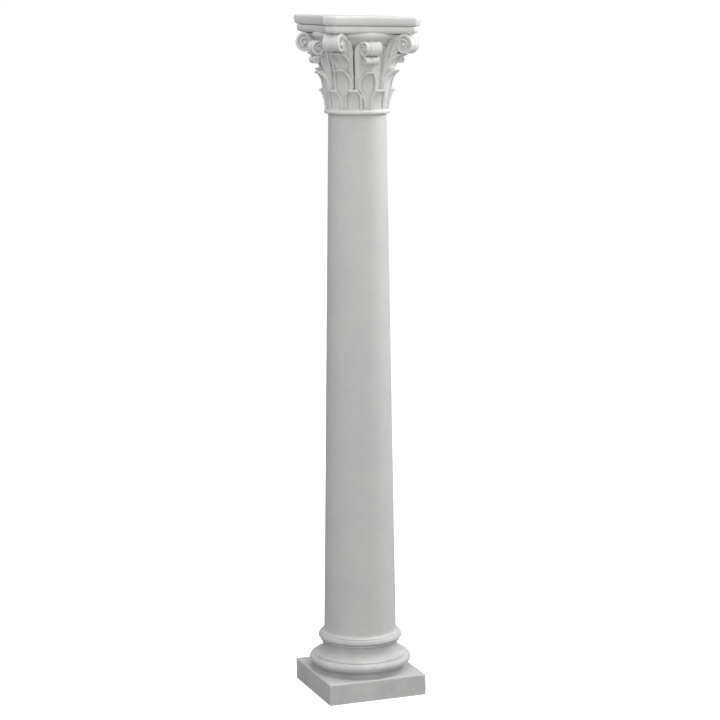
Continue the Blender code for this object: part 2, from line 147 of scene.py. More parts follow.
def finishPiece(name, bm, material, node, angle=40):
    obj = toObject(name, bm)
    obj.data.materials.append(material)
    obj.data.shade_smooth()
    obj.data.set_sharp_from_angle(angle=radians(angle))
    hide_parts(node)
    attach(obj, "root")
    print(name, len(obj.data.polygons), "faces")


# Plaster finishes. The groups are built once and each casting's material sets its own values

def newGroup(name, inputs, outputs):
    tree = bpy.data.node_groups.new(name, "ShaderNodeTree")
    for label, kind, value in inputs:
        socket = tree.interface.new_socket(name=label, in_out="INPUT", socket_type=kind)
        socket.default_value = value
    for label, kind in outputs:
        tree.interface.new_socket(name=label, in_out="OUTPUT", socket_type=kind)
    return tree, tree.nodes.new("NodeGroupInput"), tree.nodes.new("NodeGroupOutput")


def addNode(tree, kind, **values):
    node = tree.nodes.new(kind)
    for key, value in values.items():
        if hasattr(node, key):
            setattr(node, key, value)
        else:
            node.inputs[key].default_value = value
    return node


def mathNode(tree, operation, first, second):
    node = tree.nodes.new("ShaderNodeMath")
    node.operation = operation
    for index, value in enumerate((first, second)):
        if isinstance(value, bpy.types.NodeSocket):
            tree.links.new(value, node.inputs[index])
        else:
            node.inputs[index].default_value = value
    return node.outputs[0]


def mapRange(tree, value, low, high, fromOut=0.0, toOut=1.0):
    node = tree.nodes.new("ShaderNodeMapRange")
    node.interpolation_type = "SMOOTHSTEP"
    tree.links.new(value, node.inputs["Value"])
    for key, number in (("From Min", low), ("From Max", high), ("To Min", fromOut), ("To Max", toOut)):
        node.inputs[key].default_value = number
    return node.outputs["Result"]


def noiseMask(tree, point, scale, detail, low, high):
    node = addNode(tree, "ShaderNodeTexNoise")
    tree.links.new(point, node.inputs["Vector"])
    if isinstance(scale, bpy.types.NodeSocket):
        tree.links.new(scale, node.inputs["Scale"])
    else:
        node.inputs["Scale"].default_value = scale
    node.inputs["Detail"].default_value = detail
    return mapRange(tree, node.outputs["Fac"], low, high)


def mixColour(tree, share, first, second):
    node = tree.nodes.new("ShaderNodeMix")
    node.data_type = "RGBA"
    for value, socket in ((share, node.inputs[0]), (first, node.inputs[6]), (second, node.inputs[7])):
        if isinstance(value, bpy.types.NodeSocket):
            tree.links.new(value, socket)
        else:
            socket.default_value = value
    return node.outputs[2]


# Cloudy tone of plaster that dried unevenly, from a clean to a greyer colour
def buildMottleGroup():
    tree, start, end = newGroup("plasterMottle", [
        ("Vector", "NodeSocketVector", (0, 0, 0)),
        ("Clean", "NodeSocketColor", (0.66, 0.66, 0.64, 1)),
        ("Grey", "NodeSocketColor", (0.6, 0.6, 0.6, 1)),
        ("Scale", "NodeSocketFloat", 9.0),
    ], [("Color", "NodeSocketColor"), ("Mask", "NodeSocketFloat")])
    point = start.outputs["Vector"]
    broad = noiseMask(tree, point, start.outputs["Scale"], 3.0, 0.36, 0.66)
    fineScale = mathNode(tree, "MULTIPLY", start.outputs["Scale"], 9.0)
    fine = noiseMask(tree, point, fineScale, 4.0, 0.35, 0.7)
    both = mathNode(tree, "MULTIPLY_ADD", fine, 0.35)
    tree.links.new(mathNode(tree, "MULTIPLY", broad, 0.65), both.node.inputs[2])
    tree.links.new(mixColour(tree, both, start.outputs["Clean"], start.outputs["Grey"]),
                   end.inputs["Color"])
    tree.links.new(both, end.inputs["Mask"])
    return tree


# Air bubbles left at the mould's face: a few small pits, more in some places than others
def buildPinholeGroup():
    tree, start, end = newGroup("plasterPinholes", [
        ("Vector", "NodeSocketVector", (0, 0, 0)),
        ("Scale", "NodeSocketFloat", 110.0),
        ("Size", "NodeSocketFloat", 0.12),
    ], [("Mask", "NodeSocketFloat")])
    cells = addNode(tree, "ShaderNodeTexVoronoi", feature="F1")
    tree.links.new(start.outputs["Vector"], cells.inputs["Vector"])
    tree.links.new(start.outputs["Scale"], cells.inputs["Scale"])
    pick = tree.nodes.new("ShaderNodeSeparateColor")
    tree.links.new(cells.outputs["Color"], pick.inputs[0])
    chosen = mathNode(tree, "GREATER_THAN", pick.outputs[0], 0.82)
    size = mathNode(tree, "MULTIPLY", start.outputs["Size"], mathNode(tree, "ADD", pick.outputs[1], 0.5))
    inside = mathNode(tree, "SUBTRACT", 1.0, mathNode(tree, "DIVIDE", cells.outputs["Distance"], size))
    pit = mapRange(tree, inside, 0.0, 0.6)
    patches = noiseMask(tree, start.outputs["Vector"], 7.0, 2.0, 0.42, 0.62)
    tree.links.new(mathNode(tree, "MULTIPLY", mathNode(tree, "MULTIPLY", pit, chosen), patches),
                   end.inputs["Mask"])
    return tree


# Fine tooth of the surface with soft tool marks, as a height
def buildGrainGroup():
    tree, start, end = newGroup("plasterGrain", [
        ("Vector", "NodeSocketVector", (0, 0, 0)),
        ("Scale", "NodeSocketFloat", 900.0),
    ], [("Height", "NodeSocketFloat")])
    point = start.outputs["Vector"]
    tooth = noiseMask(tree, point, start.outputs["Scale"], 3.0, 0.2, 0.8)
    waveScale = mathNode(tree, "MULTIPLY", start.outputs["Scale"], 0.07)
    waves = noiseMask(tree, point, waveScale, 2.0, 0.2, 0.8)
    height = mathNode(tree, "MULTIPLY_ADD", waves, 2.2)
    tree.links.new(tooth, height.node.inputs[2])
    tree.links.new(height, end.inputs["Height"])
    return tree


# Painted light from the surface's pointiness: convex edges are painted lighter as a highlight, and hollows a
# little darker as shade
def buildHighlightAndShadeGroup():
    tree, start, end = newGroup("paintedHighlightAndShade", [
        ("Vector", "NodeSocketVector", (0, 0, 0)),
        ("Contrast", "NodeSocketFloat", 0.03),
    ], [("Edge", "NodeSocketFloat"), ("HollowShade", "NodeSocketFloat")])
    shape = tree.nodes.new("ShaderNodeNewGeometry")
    breakUp = noiseMask(tree, start.outputs["Vector"], 60.0, 3.0, 0.3, 0.7)
    away = mathNode(tree, "SUBTRACT", shape.outputs["Pointiness"], 0.5)
    bend = mathNode(tree, "DIVIDE", away, start.outputs["Contrast"])
    edge = mapRange(tree, bend, 0.15, 1.0)
    hollow = mapRange(tree, mathNode(tree, "MULTIPLY", bend, -1.0), 0.1, 1.0)
    tree.links.new(mathNode(tree, "MULTIPLY", edge, mapRange(tree, breakUp, 0, 1, 0.45, 1.0)),
                   end.inputs["Edge"])
    tree.links.new(mathNode(tree, "MULTIPLY", hollow, mapRange(tree, breakUp, 0, 1, 0.7, 1.0)),
                   end.inputs["HollowShade"])
    return tree


groups = {
    "mottle": buildMottleGroup(),
    "pinholes": buildPinholeGroup(),
    "grain": buildGrainGroup(),
    "wearAndPaintedLight": buildHighlightAndShadeGroup(),
}

# What the three finishes share, then each casting's own. They are one plaster: the capital's colours are
# painted lighter and the shaft's and base's darker, painted light and shade down the column
plasterShared = {
    "specular": 0.35, "grainScale": 900.0, "highlightAndShadeContrast": 0.035, "pitShade": 0.55, "pitDepth": 8.0,
    "roughnessRange": 0.12, "bumpDistance": 0.00025,
}
plasters = {
    "basePlaster": {
        "clean": (0.61, 0.61, 0.598, 1), "grey": (0.52, 0.52, 0.522, 1), "edgeHighlight": (0.70, 0.70, 0.69, 1),
        "shadeColour": (0.47, 0.46, 0.44, 1), "mottleScale": 11.0, "pinholeScale": 120.0, "pinholeSize": 0.11,
        "edge": 0.5, "hollow": 0.5, "roughness": 0.62, "bump": 0.35,
    },
    "shaftPlaster": {
        "clean": (0.615, 0.615, 0.605, 1), "grey": (0.575, 0.575, 0.575, 1), "edgeHighlight": (0.68, 0.68, 0.67, 1),
        "shadeColour": (0.47, 0.46, 0.44, 1), "mottleScale": 7.0, "pinholeScale": 100.0, "pinholeSize": 0.12,
        "edge": 0.4, "hollow": 0.4, "roughness": 0.66, "bump": 0.35,
    },
    # Painted lighter than the shaft and base, a painted difference in light
    "capitalPlaster": {
        "clean": (0.70, 0.70, 0.685, 1), "grey": (0.66, 0.66, 0.658, 1), "edgeHighlight": (0.77, 0.77, 0.76, 1),
        "shadeColour": (0.46, 0.45, 0.43, 1), "mottleScale": 14.0, "pinholeScale": 150.0, "pinholeSize": 0.10,
        "edge": 0.5, "hollow": 0.7, "roughness": 0.58, "bump": 0.3,
    },
}


def useGroup(tree, key, point, **values):
    node = tree.nodes.new("ShaderNodeGroup")
    node.node_tree = groups[key]
    tree.links.new(point, node.inputs["Vector"])
    for label, value in values.items():
        node.inputs[label].default_value = value
    return node


def buildPlaster(name):
    look = plasters[name]
    material = bpy.data.materials.new(name)
    material.use_nodes = True
    tree = material.node_tree
    shader = tree.nodes["Principled BSDF"]
    shader.inputs["Metallic"].default_value = 0.0
    shader.inputs["Specular IOR Level"].default_value = plasterShared["specular"]
    point = tree.nodes.new("ShaderNodeTexCoord").outputs["Object"]
    mottle = useGroup(tree, "mottle", point,
                      Clean=look["clean"], Grey=look["grey"], Scale=look["mottleScale"])
    pinholes = useGroup(tree, "pinholes", point, Scale=look["pinholeScale"], Size=look["pinholeSize"])
    grain = useGroup(tree, "grain", point, Scale=plasterShared["grainScale"])
    wearAndPaintedLight = useGroup(tree, "wearAndPaintedLight", point, Contrast=plasterShared["highlightAndShadeContrast"])
    hollow = mathNode(tree, "MULTIPLY", wearAndPaintedLight.outputs["HollowShade"], look["hollow"])
    edge = mathNode(tree, "MULTIPLY", wearAndPaintedLight.outputs["Edge"], look["edge"])
    # Hollows are painted darker with this colour, a painted shade
    colour = mixColour(tree, hollow, mottle.outputs["Color"], look["shadeColour"])
    # Convex edges are painted lighter with this colour, a painted highlight
    colour = mixColour(tree, edge, colour, look["edgeHighlight"])
    # Pinhole pits are painted darker with the same colour, a painted shade
    pitShade = mathNode(tree, "MULTIPLY", pinholes.outputs["Mask"], plasterShared["pitShade"])
    colour = mixColour(tree, pitShade, colour, look["shadeColour"])
    tree.links.new(colour, shader.inputs["Base Color"])
    # Rougher where it is greyer, smoother on the edges that are painted lighter
    spread = plasterShared["roughnessRange"]
    rough = mapRange(tree, mottle.outputs["Mask"], 0.0, 1.0, look["roughness"], look["roughness"] + spread)
    tree.links.new(mathNode(tree, "SUBTRACT", rough, mathNode(tree, "MULTIPLY", edge, spread)),
                   shader.inputs["Roughness"])
    pitDepth = mathNode(tree, "MULTIPLY", pinholes.outputs["Mask"], plasterShared["pitDepth"])
    height = mathNode(tree, "SUBTRACT", grain.outputs["Height"], pitDepth)
    bump = addNode(tree, "ShaderNodeBump", Strength=look["bump"], Distance=plasterShared["bumpDistance"])
    tree.links.new(height, bump.inputs["Height"])
    tree.links.new(bump.outputs["Normal"], shader.inputs["Normal"])
    return material


# Base casting: square plinth and turned mouldings. Reaches are counted from the shaft's foot radius,
# and arcs are in degrees

base = {
    "plinthHeight": 0.057, "plinthEdge": 0.0020, "plinthCuts": 46, "plinthSideCuts": 10,
    "torusHeight": 0.043, "torusRound": 0.025, "torusReach": 0.0405, "torusArc": (-84, 52),
    "torusCove": 0.015, "coveReach": 0.0085, "coveArc": (78, 8), "line": 0.0016, "lineDepth": 0.0032,
    "scotiaHeight": 0.038, "scotiaNeckHeight": 0.0255, "scotiaLip": 0.029, "scotiaNeck": 0.0039,
    "scotiaTop": 0.0087, "filletHeight": 0.007, "fillet": 0.0099,
    "beadHeight": 0.015, "bellyHeight": 0.0035, "bead": 0.0156,
    "segments": 200, "sharpAngle": 32, "softEdge": 0.0003, "uneven": 0.00022, "unevenSize": 0.05,
    "wearAndPaintedLight": 0.0009, "wearEdge": 0.007, "wearCorner": 0.02, "floorSpared": 0.004,
}
shaft = {
    "footRadius": 0.0983, "topRadius": 0.0773, "taperEase": 0.08,
    "flare": 0.0085, "flareHeight": 0.0111, "lip": 0.0012, "rings": 70, "segments": 160,
    "uneven": 0.00025, "unevenSize": 0.07,
}


# From inside the plinth up to the joint, with a cove under the torus, a scored line over it and a
# crevice on each side of the fillet
def baseProfile():
    foot = shaft["footRadius"]
    lip = foot + base["scotiaLip"]
    neck = foot + base["scotiaNeck"]
    scotiaTop = foot + base["scotiaTop"]
    fillet = foot + base["fillet"]
    bead = foot + base["bead"]
    beadTop = foot + shaft["flare"]
    line, depth, cove = base["line"], base["lineDepth"], base["torusCove"]
    plinthTop = baseLow.z + base["plinthHeight"]
    torusTop = plinthTop + base["torusHeight"]
    scotiaNeck = torusTop + base["scotiaNeckHeight"]
    filletBottom = torusTop + base["scotiaHeight"]
    filletTop = filletBottom + base["filletHeight"]
    belly = filletTop + base["bellyHeight"]
    start, stop = base["torusArc"]
    torusLow = plinthTop + cove
    rise = (torusTop - line / 2 - torusLow) / (sin(radians(stop)) - sin(radians(start)))
    middle = (foot + base["torusReach"] - base["torusRound"], torusLow - rise * sin(radians(start)))
    torus = arc(middle, (base["torusRound"], rise), start, stop, 26)
    contact = torus[0][0] + base["coveReach"]
    profile = [(contact, plinthTop - base["plinthHeight"] / 2), (contact, plinthTop)]
    profile += arc((contact, torusLow), (-base["coveReach"], -cove), *base["coveArc"], 10)
    profile += torus
    profile += [(lip - depth, torusTop - line / 4), (lip - depth, torusTop + line / 4)]
    profile += arc((lip, scotiaNeck), (neck - lip, torusTop + line / 2 - scotiaNeck), 90, 0, 22)
    scotiaRise = filletBottom - line / 2 - scotiaNeck
    profile += arc((scotiaTop, scotiaNeck), (neck - scotiaTop, scotiaRise), 0, 90, 10)[1:]
    profile += [(fillet - depth, filletBottom - line / 2), (fillet - depth, filletBottom + line / 4)]
    profile += [(fillet, filletBottom + line / 2), (fillet, filletTop - line / 2)]
    profile += [(fillet - depth, filletTop - line / 4), (fillet - depth, filletTop + line / 2)]
    profile += arc((fillet - line, belly), (bead - fillet + line, belly - filletTop - line / 2), -90, 0, 8)
    profile += arc((beadTop, belly), (bead - beadTop, baseHigh.z - belly), 0, 90, 14)[1:]
    return profile


# Rubs the plinth's arrises unevenly, most at its corners, and spares those on the floor
def wearPlinth(bm, half, top):
    for vert in bm.verts:
        x, y, z = vert.co
        gaps = sorted((half - abs(x), half - abs(y), top - z if z > top / 2 else z + base["floorSpared"]))
        near = 1 - eased(sqrt(gaps[0] ** 2 + gaps[1] ** 2) / base["wearEdge"])
        corner = 1 - eased((gaps[0] + gaps[1] + gaps[2]) / base["wearCorner"])
        rub = 0.5 + 0.5 * noise.noise(vert.co * 38) + 0.35 * noise.noise(vert.co * 120)
        depth = base["wearAndPaintedLight"] * (near * max(rub, 0.0) + 0.5 * corner)
        inward = Vector((-x / half, -y / half, -0.8 if z > top / 2 else 0.0))
        vert.co += inward * depth


def makeBase():
    half = baseHigh.x
    top = baseLow.z + base["plinthHeight"]
    bm = bmesh.new()
    bmesh.ops.create_cube(bm, size=1.0)
    bmesh.ops.scale(bm, vec=(2 * half, 2 * half, base["plinthHeight"]), verts=bm.verts[:])
    bmesh.ops.translate(bm, vec=(0, 0, base["plinthHeight"] / 2), verts=bm.verts[:])
    aboveFloor = [edge for edge in bm.edges if max(vert.co.z for vert in edge.verts) > 0]
    bmesh.ops.bevel(bm, geom=aboveFloor, offset=base["plinthEdge"], segments=4, profile=0.5,
                    affect="EDGES", material=-1)
    long = [edge for edge in bm.edges if edge.calc_length() > 2 * half * 0.9]
    bmesh.ops.subdivide_edges(bm, edges=long, cuts=base["plinthCuts"], use_grid_fill=True)
    upright = [edge for edge in bm.edges
               if abs(edge.verts[0].co.z - edge.verts[1].co.z) > base["plinthHeight"] * 0.8]
    bmesh.ops.subdivide_edges(bm, edges=upright, cuts=base["plinthSideCuts"], use_grid_fill=True)
    wearPlinth(bm, half, top)
    mouldings = turned(baseProfile(), base["segments"])
    softenArrises(mouldings, base["sharpAngle"], base["softEdge"], 2)
    bm = united(bm, mouldings)
    castUneven(bm, base["uneven"], base["unevenSize"], baseLow.z, baseHigh.z)
    finishPiece("baseCasting", bm, buildPlaster("basePlaster"), "base", base["sharpAngle"])


# Shaft casting: plain tapering drum with a flared foot

def makeShaft():
    foot, flare = shaft["footRadius"], shaft["flare"]
    lip = foot + flare
    flareTop = shaftLow.z + shaft["lip"] + shaft["flareHeight"]
    profile = [(lip - shaft["lip"], shaftLow.z), (lip, shaftLow.z + shaft["lip"] / 2)]
    profile += arc((lip, flareTop), (flare, shaft["flareHeight"]), -90, -180, 14)
    for ring in range(1, shaft["rings"] + 1):
        share = ring / shaft["rings"]
        taper = share * (1 + shaft["taperEase"] * (1 - share))
        profile.append((foot - (foot - shaft["topRadius"]) * taper,
                        flareTop + (shaftHigh.z - flareTop) * share))
    bm = turned(profile, shaft["segments"])
    castUneven(bm, shaft["uneven"], shaft["unevenSize"], shaftLow.z, shaftHigh.z)
    finishPiece("shaftCasting", bm, buildPlaster("shaftPlaster"), "shaft")


# Capital casting. It is set out in parts: 255 in its height and 88 in its neck ring's radius,
# with heights counted from its underside and azimuths from the -Y face

capital = {
    "ringRadius": 0.088, "height": capitalHigh.z - capitalLow.z,
    "core": 62, "grain": 0.9, "quickCoarser": 2.0, "smooth": 2, "triangles": 180000, "lean": -0.024,
    "uneven": 0.00035, "unevenSize": 0.022, "sharpAngle": 60, "bellSegments": 96, "ringSegments": 180,
    "neckRing": [(82, 0), (85.2, 0.4), (87.2, 2.2), (88, 5), (87.8, 8), (86.6, 10.8), (84.3, 12.8),
                 (80, 14)],
    "bell": [(77, 4), (77, 30), (74, 60), (71, 90), (71, 120), (74, 150), (82, 170), (97, 182), (104, 190),
             (110, 196.5), (115.5, 201), (117, 206), (116, 211), (112, 217), (106, 225)],
}
up = capital["height"] / 255
out = capital["ringRadius"] / 88

# Where the pieces of carving sit round the bell. They were set by hand and stand a little off their
# even places, and the two far sides repeat the two near ones
azimuths = {
    "lowLeaves": (-63.9, -27.5, 18.2, 65.5, 116.1, 152.5, 198.2, 245.5),
    "cornerLeaves": (-45.5, 45, 134.5, 225), "faceLeaves": (-2.5, 90, 177.5, 270),
    "nearCorners": (-45, 135), "farCorners": (45, 225), "faces": (-2.7, 89, 177.3, 269),
    "webs": (22.6, 65.1, 113.7, 202.6, 245.1, 293.6),
}

# Leaves. A spine runs from foot to curled tip as (out, up, half width). The rim is a raised, rounded
# border with a groove inside it, and the dished middle carries a few soft veins. The tip droops at its
# corners, and runs straight across instead of round the bell by its share of flat
lowLeaf = {
    "spine": [(85.5, 8, 23.6), (85.8, 20, 24.4), (87.3, 33, 24.4), (90.6, 46, 22.6),
              (95.0, 54.5, 19.0), (99.3, 60, 14.6), (99.8, 63.5, 13.6), (94.3, 65, 13.0)],
    "rim": 1.8, "rimFrom": 0.68, "groove": 2.2, "dish": 1.8, "veins": 3.7, "veinHeight": 0.45,
    "reliefFrom": 0.0, "lipFrom": 0.78, "droop": 1.2, "flat": 0.0, "coreRise": 0.0, "edge": 2.6,
    "grid": (72, 84),
}
middleLeaf = {
    "spine": [(82.0, 8, 6.0), (83.5, 30, 8.0), (87.5, 52, 16.0), (91.0, 68, 27.5), (93.6, 84, 29.0),
              (98.5, 97, 25.5), (106.5, 107.5, 19.5), (115.0, 113.5, 16.0), (116.0, 117.0, 15.0),
              (107.5, 119.0, 14.0)],
    "rim": 2.0, "rimFrom": 0.64, "groove": 2.4, "dish": 1.9, "veins": 4.2, "veinHeight": 0.45,
    "reliefFrom": 0.16, "lipFrom": 0.80, "droop": 1.6, "flat": 0.0, "coreRise": 0.0, "edge": 3.0,
    "grid": (84, 100),
}
faceLeaf = dict(middleLeaf, spine=[
    (82.4, 8, 8.4), (84.0, 30, 9.2), (87.8, 52, 16.5), (91.2, 68, 27.0), (93.6, 84, 27.5),
    (98.3, 94.5, 22.5), (105.5, 103.0, 15.5), (114.0, 108.0, 11.0), (115.0, 111.5, 9.5), (107.0, 113.5, 9.0)])
cornerLeaf = {
    "spine": [(94.0, 104, 26.0), (98.0, 118, 28.0), (104.0, 130, 28.5), (113.0, 141, 27.5),
              (124.5, 150, 25.5), (135.5, 156.5, 23.0), (138.0, 159.5, 21.5), (132.0, 162.0, 20.5)],
    "rim": 2.0, "rimFrom": 0.72, "groove": 2.0, "dish": 5.4, "veins": 1.0, "veinHeight": 2.2,
    "reliefFrom": 0.0, "lipFrom": 0.84, "droop": 5.0, "flat": 0.85, "coreRise": -6.0, "edge": 3.0,
    "grid": (72, 90),
}

# What the leaves share. Across, in shares of the half width: where the groove lies inside the rim and
# its width, where the rim rises and over what width, and the same for the edge's turn down. Along, in
# shares of the spine: how soon the relief is full, and where the droop and the flat begin
leafShared = {
    "grooveInset": 0.05, "grooveWidth": 0.055, "rimInset": 0.02, "rimRise": 0.06,
    "edgeFrom": 0.93, "edgeWidth": 0.07, "reliefGrowth": 0.14, "droopFrom": 0.6, "flatFrom": 0.3,
}

# Scrolls. The band climbs its stem, as (out, up, half width), and winds over the roll about its
# centre until its turns end at the eye. The recess sets back the roll's ends, the knob is the eye's
# reach past them, and the splay cuts the left end back towards the front
cornerScroll = {
    "stem": [(84.5, 60, 27.2), (88.0, 88, 28.4), (94.5, 116, 30.3), (101.0, 144, 32.5),
             (107.5, 167, 35.0), (115.0, 187, 35.0), (127.0, 202, 30.0)],
    "centre": (142.0, 182.0), "radius": 27.8, "halfWidth": 24.0, "splay": 0.0, "band": 6.5, "eye": 5.5,
    "turns": 1.45, "stemShare": 0.4, "sink": 40.0, "groove": 3.0, "bead": 0.0, "rim": 1.6, "recess": 5.0,
    "knob": 1.5,
}
# The rolls nearest to the photo's view end in a dish with a round knob
nearScroll = dict(cornerScroll, centre=(142.0, 184.5), radius=26.6, halfWidth=23.0, eye=6.8, turns=0.95,
                  band=8.5, groove=1.6, recess=8.0, knob=2.6)
faceScroll = {
    "stem": [(84.5, 60, 32.4), (88.0, 88, 33.8), (93.5, 116, 35.8), (99.0, 144, 37.8),
             (102.0, 164, 38.6), (104.5, 179, 35.0), (108.0, 187.5, 29.0)],
    "centre": (114.0, 169.5), "radius": 20.5, "halfWidth": 25.5, "splay": 0.33, "band": 5.5, "eye": 4.5,
    "turns": 1.35, "stemShare": 0.4, "sink": 26.0, "groove": 0.0, "bead": 2.6, "rim": 1.0, "recess": 4.5,
    "knob": 0.0,
}
smallScroll = {
    "stem": [(93.0, 108, 16.5), (96.0, 120, 18.5), (98.5, 131, 20.0), (102.0, 142, 20.5),
             (107.0, 149, 20.5)],
    "centre": (118.0, 140.0), "radius": 11.0, "halfWidth": 20.0, "splay": 0.2, "band": 4.2, "eye": 3.0,
    "turns": 1.1, "stemShare": 0.35, "sink": 12.0, "groove": 3.0, "bead": 0.0, "rim": 0.8, "recess": 3.0,
    "knob": 0.0,
}
# What the scrolls share. For the turns: room round the eye and the core's inset in bands, how the turns
# tighten, how much of the band's thickness they lose, and where the splay begins in radii. For the
# band's face: widths in parts. For the stem: shares of its length, and its inner side's depth
scrollShared = {
    "eyeRoom": 0.7, "coilInset": 0.6, "tightening": 1.1, "thinning": 0.45, "splayFrom": 0.55,
    "beadWidth": 2.0, "besideBead": 4.6, "besideWidth": 1.6, "besideDepth": 0.7,
    "rimInset": 2.4, "rimWidth": 2.8, "grooveWidth": 2.3,
    "reliefGrowth": 0.15, "flatFrom": 0.45, "flatGrowth": 0.5, "joinFrom": 0.55, "joinGrowth": 0.45,
    "innerDepth": 0.25, "grid": (40, 240), "coilSegments": 72, "eyeSegments": 48, "eyeRings": 24,
}
fillingGrid = (8, 24)

# Solid plaster behind a roll, and the webs that close the wider gaps between the stems. Where two
# stems almost meet there is no web, which leaves a deep slit
fillings = {
    "web": [(79.0, 20, 11.0), (80.0, 60, 11.0), (81.0, 90, 11.0), (83.5, 120, 11.0), (88.5, 150, 11.0),
            (97.0, 178, 11.0)],
    "corner": [(98.0, 120, 18.0), (108.0, 145, 20.0), (122.0, 160, 21.0), (132.0, 172, 21.5),
               (136.0, 190, 22.0), (142.0, 208, 21.0)],
    "face": [(96.0, 115, 13.0), (104.0, 130, 15.0), (108.0, 145, 16.0), (110.0, 158, 22.0),
             (110.0, 172, 23.0), (104.0, 186, 23.0)],
}

# Abacus: half width at a horn and at the middle of a side, reach of a clipped corner, and its
# mouldings as (set back, up)
abacus = {
    "horn": 136, "middle": 124, "reach": 176.5, "sideSteps": 40, "clipSteps": 5,
    "profile": [(18.5, 210.2), (15.5, 210.9), (12.5, 212.0), (10.0, 213.6), (8.3, 215.8), (7.3, 218.6),
                (6.9, 222), (6.9, 225), (7.2, 227.4), (8.0, 228.8), (11.5, 229.2), (11.5, 230.4),
                (7.0, 230.9), (5.0, 231.8), (3.2, 233.6), (1.9, 236.2), (1.0, 239.6), (0.4, 243), (0.1, 246),
                (0.0, 249), (0.4, 251.6), (1.2, 253.4), (2.3, 254.6), (3.8, 255)],
}


def place(outward, sideways, height):
    return Vector((sideways * out, -outward * out, capitalLow.z + height * up))


# Sideways reach follows the bell round, or runs straight where flat is 1
def bent(outward, sideways, height, flat):
    turn = sideways / outward
    roundOut = outward * cos(turn)
    roundSide = outward * sin(turn)
    return place(roundOut + (outward - roundOut) * flat, roundSide + (sideways - roundSide) * flat, height)


# A closed piece between two surfaces over one grid, each a function of (across, along)
def skin(grid, outer, inner):
    bm = bmesh.new()
    bmesh.ops.create_grid(bm, x_segments=grid[0], y_segments=grid[1], size=0.5)
    grown = bmesh.ops.extrude_face_region(bm, geom=bm.faces[:])
    for item in grown["geom"]:
        if isinstance(item, bmesh.types.BMVert):
            item.co.z = 1.0
    for vert in bm.verts:
        surface = inner if vert.co.z > 0.5 else outer
        vert.co = surface(vert.co.x + 0.5, vert.co.y + 0.5)
    bmesh.ops.recalc_face_normals(bm, faces=bm.faces[:])
    return bm


# Height of a leaf's face above its spine
def leafRelief(form, across, share):
    lip = 1 - eased((share - form["lipFrom"]) / (1 - form["lipFrom"]))
    side = abs(across)
    rimFrom = form["rimFrom"]
    inside = min(side / rimFrom, 1.0)
    lift = form["veinHeight"] * cos(tau * form["veins"] * across) * (1 - inside ** 4)
    groove = form["groove"] * ridge(side, rimFrom - leafShared["grooveInset"], leafShared["grooveWidth"])
    lift -= form["dish"] * (0.6 + 0.4 * inside ** 2) + groove
    overRim = (side - rimFrom) / (1 - rimFrom)
    roll = form["rim"] * (1 - (2 * max(overRim, 0.0) - 1) ** 4)
    lift += (roll - lift) * eased((side - rimFrom + leafShared["rimInset"]) / leafShared["rimRise"])
    lift -= form["edge"] * eased((side - leafShared["edgeFrom"]) / leafShared["edgeWidth"])
    return lip * lift * eased((share - form["reliefFrom"]) / leafShared["reliefGrowth"])


def leafPiece(form):
    droopFrom, flatFrom = leafShared["droopFrom"], leafShared["flatFrom"]

    def outer(u, v):
        across = 2 * u - 1
        outward, height, half = along(form["spine"], v)
        outward += leafRelief(form, across, v)
        height -= form["droop"] * across * across * eased((v - droopFrom) / (1 - droopFrom))
        return bent(outward, across * half, height, form["flat"] * eased((v - flatFrom) / (1 - flatFrom)))

    def inner(u, v):
        outward, height, half = along(form["spine"], v)
        turn = (2 * u - 1) * half / outward
        return bent(capital["core"], turn * capital["core"], height + form["coreRise"] * v, 0.0)

    return skin(form["grid"], outer, inner)


# How far the band has wound in towards the eye, at a share of its turns
def windReach(form, share):
    room = scrollShared["eyeRoom"] * form["band"]
    return form["radius"] - (form["radius"] - form["eye"] - room) * share ** scrollShared["tightening"]


# (out, up) on the wound band, at a share of its turns and a depth into its thickness
def winding(form, share, depth):
    reach = windReach(form, share) - depth * form["band"] * (1 - scrollShared["thinning"] * share)
    angle = pi / 2 - share * form["turns"] * tau
    return form["centre"][0] + reach * cos(angle), form["centre"][1] + reach * sin(angle)


# How far the roll reaches to a side, at a distance out from the axis
def halfAt(form, outward, across):
    cut = form["splay"] * (outward - form["centre"][0] + scrollShared["splayFrom"] * form["radius"])
    return form["halfWidth"] - (cut if across < 0 else 0.0)


# The eye: a round bar through the roll, with ball ends
def eyePiece(form):
    bm = bmesh.new()
    bmesh.ops.create_uvsphere(bm, u_segments=scrollShared["eyeSegments"], v_segments=scrollShared["eyeRings"],
                              radius=1.0)
    eye = form["eye"]
    for vert in bm.verts:
        x, y, z = vert.co
        outward = form["centre"][0] + eye * x
        reach = halfAt(form, outward, z) + form["knob"] - eye
        vert.co = place(outward, eye * z + (reach if z >= 0 else -reach), form["centre"][1] + eye * y)
    bmesh.ops.recalc_face_normals(bm, faces=bm.faces[:])
    return bm


# The roll's body inside the band's outer turn, set back from its ends
def coil(form):
    bm = bmesh.new()
    bmesh.ops.create_cone(bm, cap_ends=True, segments=scrollShared["coilSegments"],
                          radius1=1.0, radius2=1.0, depth=2.0)
    for vert in bm.verts:
        share = (pi / 2 - atan2(vert.co.y, vert.co.x)) % tau / (form["turns"] * tau)
        reach = windReach(form, share) - scrollShared["coilInset"] * form["band"]
        outward = form["centre"][0] + reach * vert.co.x
        half = halfAt(form, outward, vert.co.z) - form["recess"]
        vert.co = place(outward, half * vert.co.z, form["centre"][1] + reach * vert.co.y)
    bmesh.ops.recalc_face_normals(bm, faces=bm.faces[:])
    return bm


# Height of a band's face: a bead with a hollow on each side or a groove, and a rim at both edges
def bandRelief(form, across, half):
    sideways = abs(across) * half
    beside = ridge(sideways, scrollShared["besideBead"], scrollShared["besideWidth"])
    middle = ridge(sideways, 0.0, scrollShared["beadWidth"])
    bead = form["bead"] * (middle - scrollShared["besideDepth"] * beside)
    rim = form["rim"] * ridge(sideways, half - scrollShared["rimInset"], scrollShared["rimWidth"])
    return bead + rim - form["groove"] * ridge(sideways, 0.0, scrollShared["grooveWidth"])


